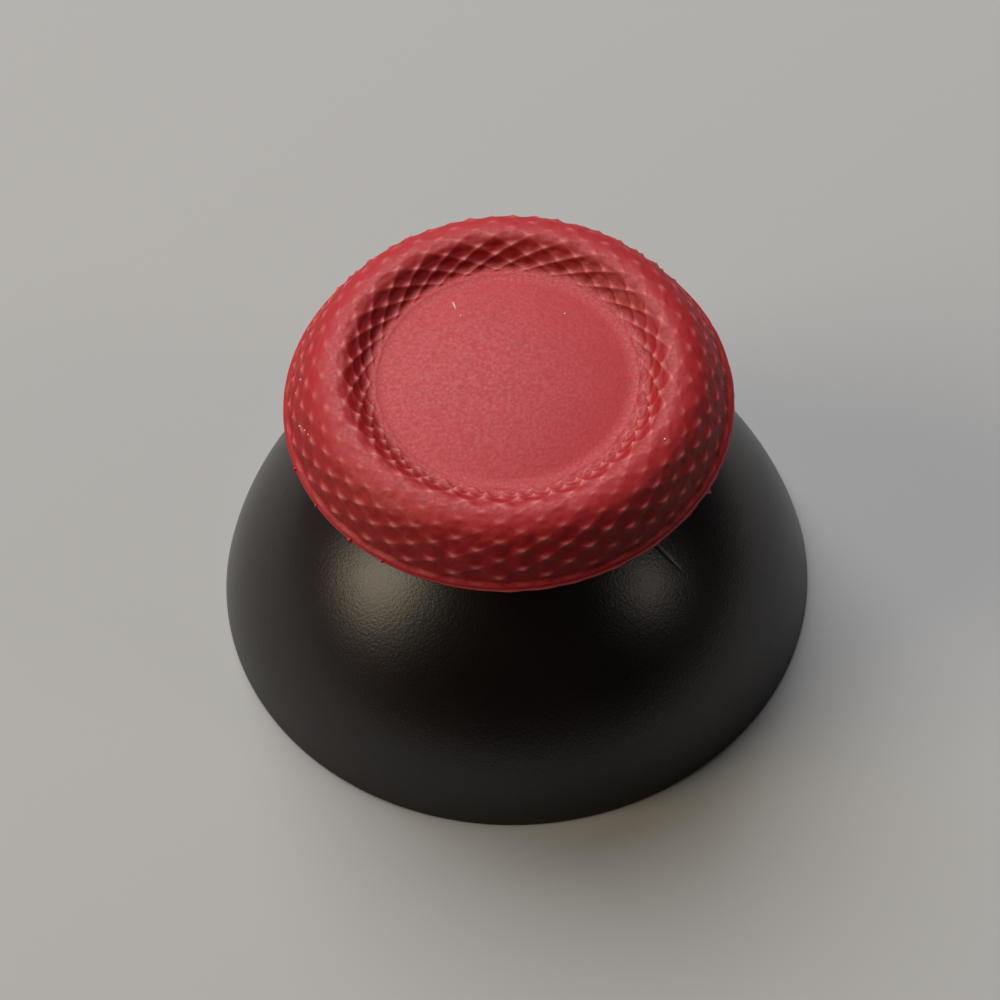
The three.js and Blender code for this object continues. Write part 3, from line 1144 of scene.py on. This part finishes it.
def fibre_places():
    """Places along a short bent line on the disc; the fibre is thickest in its middle."""
    azimuth, r, z = FIBRE_START
    ends, bulge = FIBRE_THICKNESS
    return [
        (azimuth + FIBRE_BEND * t**2, r - FIBRE_REACH * t, z, ends + bulge * math.sin(math.pi * t))
        for t in np.linspace(0, 1, FIBRE_BALLS)
    ]


print("grains:", len(GRAINS), "fibre balls:", len(fibre_places()), "flash bumps:", len(FLASH_BUMPS))

# %% Dust finish
DUST_TINTS = (0.80, 0.72, 0.68, 1), (0.62, 0.50, 0.47, 1)
DUST_ROUGHNESS = 0.8


def dust_finish():
    material, tree, shader = new_material("dust")
    place = in_millimetres(tree)
    grain = add_group(tree, skin, Place=place, Grains_per_mm=12.0, Mottle_per_mm=2.0).outputs
    feed(tree, shader["Base Color"], mixed(tree, grain["Mottle"], *DUST_TINTS))
    shader["Roughness"].default_value = DUST_ROUGHNESS
    return material


dust_material = dust_finish()
print("material:", dust_material.name)

# %% Rough balls on the rubber
BALL_ROWS = 6
BALL_COLUMNS = 10
BALL_UNEVEN = (0.75, 1.15)


def rough_balls(name, places, surface, seed):
    """Small uneven balls, each half sunk in the surface, joined in one mesh."""
    draws = np.random.default_rng(seed)
    vertices, faces = [], []
    for azimuth, r, z, radius in places:
        a = math.radians(azimuth)
        asked = Vector((r * math.cos(a), r * math.sin(a), z)) * MM
        touched = surface.closest_point_on_mesh(asked)[1]
        first = len(vertices)
        for i in range(1, BALL_ROWS):
            for j in range(BALL_COLUMNS):
                tilt, turn = math.pi * i / BALL_ROWS, 2 * math.pi * j / BALL_COLUMNS
                level = math.sin(tilt)
                way = Vector((level * math.cos(turn), level * math.sin(turn), math.cos(tilt)))
                vertices.append(touched + way * radius * draws.uniform(*BALL_UNEVEN) * MM)
        top, bottom = len(vertices), len(vertices) + 1
        vertices += [touched + Vector((0, 0, radius * MM)), touched - Vector((0, 0, radius * MM))]
        last = top - BALL_COLUMNS
        for j in range(BALL_COLUMNS):
            after = (j + 1) % BALL_COLUMNS
            for here in range(first, last, BALL_COLUMNS):
                there = here + BALL_COLUMNS
                faces.append((here + j, there + j, there + after, here + after))
            faces.append((top, first + j, first + after))
            faces.append((bottom, last + after, last + j))
    mesh = bpy.data.meshes.new(name)
    mesh.from_pydata(vertices, [], faces)
    mesh.polygons.foreach_set("use_smooth", [True] * len(mesh.polygons))
    return add_piece(name, mesh)


for name, places, seed, finish in (
    ("dust_grains", GRAINS, 11, dust_material),
    ("dust_fibre", fibre_places(), 12, dust_material),
    ("flash_bumps", FLASH_BUMPS, 13, rubber_finish),
):
    piece = rough_balls(name, places, rubber_cap, seed)
    piece.data.materials.append(finish)
    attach(piece, "root")
    print(piece.name, len(piece.data.polygons), "faces")

# %% [markdown]
# ## Floor
#
# The floor is plain and pale. A plain material would also throw much light back up at the dome
# and under the rubber. So the floor looks pale in the picture and in every reflection, but sends
# less light on to the grip, and the red doesn't light up from below.

# %% Floor
FLOOR_COLOUR = (0.42, 0.42, 0.415, 1)
FLOOR_BOUNCE = (0.02, 0.02, 0.02, 1)
FLOOR_ROUGHNESS = 0.9
FLOOR_REACH = 1.5
FLOOR_DROP = 0.01 * MM


def make_floor():
    ways = ((-1, -1), (1, -1), (1, 1), (-1, 1))
    corners = [(x * FLOOR_REACH, y * FLOOR_REACH, -FLOOR_DROP) for x, y in ways]
    mesh = bpy.data.meshes.new("floor")
    mesh.from_pydata(corners, [], [(0, 1, 2, 3)])
    floor = add_piece("floor", mesh)
    material, tree, shader = new_material("pale_floor")
    path = add_node(tree, "ShaderNodeLightPath").outputs
    seen = calc(tree, "ADD", path["Is Camera Ray"], path["Is Glossy Ray"])
    seen = calc(tree, "ADD", seen, path["Is Transmission Ray"])
    feed(tree, shader["Base Color"], mixed(tree, seen, FLOOR_BOUNCE, FLOOR_COLOUR))
    shader["Roughness"].default_value = FLOOR_ROUGHNESS
    mesh.materials.append(material)
    return floor


print("floor:", make_floor().name)

# %% [markdown]
# ## Light
#
# The light is that of a small product table: one large soft box above and behind, which puts a
# haze on what faces up, a soft box on the left, and a weaker one on the right. The two side boxes
# make the two wide highlights on the dome. A picture of a studio could light the scene as well,
# but then no highlight could be moved by itself.

# %% Lamps and surroundings
SURROUNDING_LIGHT = 0.01


def soft_box(name, azimuth, elevation, distance, size, power, colour):
    """A rectangular lamp that looks at the grip from this direction. Azimuth 0 is +X."""
    data = bpy.data.lights.new(name, "AREA")
    data.shape = "RECTANGLE"
    data.size, data.size_y = size
    data.energy = power
    data.color = colour
    a, e = math.radians(azimuth), math.radians(elevation)
    way = Vector((math.cos(a) * math.cos(e), math.sin(a) * math.cos(e), math.sin(e)))
    lamp = bpy.data.objects.new(name, data)
    bpy.context.scene.collection.objects.link(lamp)
    lamp.location = way * distance
    lamp.rotation_euler = way.to_track_quat("Z", "Y").to_euler()


soft_box("back_box", 110, 54, distance=0.6, size=(0.45, 0.4), power=3.8, colour=(0.98, 0.98, 1.0))
soft_box("left_box", 188, 37, distance=0.5, size=(0.24, 0.24), power=1.0, colour=(1.0, 0.86, 0.64))
soft_box("right_box", -17, 35, distance=0.5, size=(0.12, 0.12), power=0.13, colour=(1.0, 0.88, 0.78))

world = bpy.data.worlds.new("surroundings")
bpy.context.scene.world = world
world.use_nodes = True
background = world.node_tree.nodes["Background"].inputs
background["Color"].default_value = (1, 1, 1, 1)
background["Strength"].default_value = SURROUNDING_LIGHT
bpy.context.scene.view_settings.view_transform = "Standard"
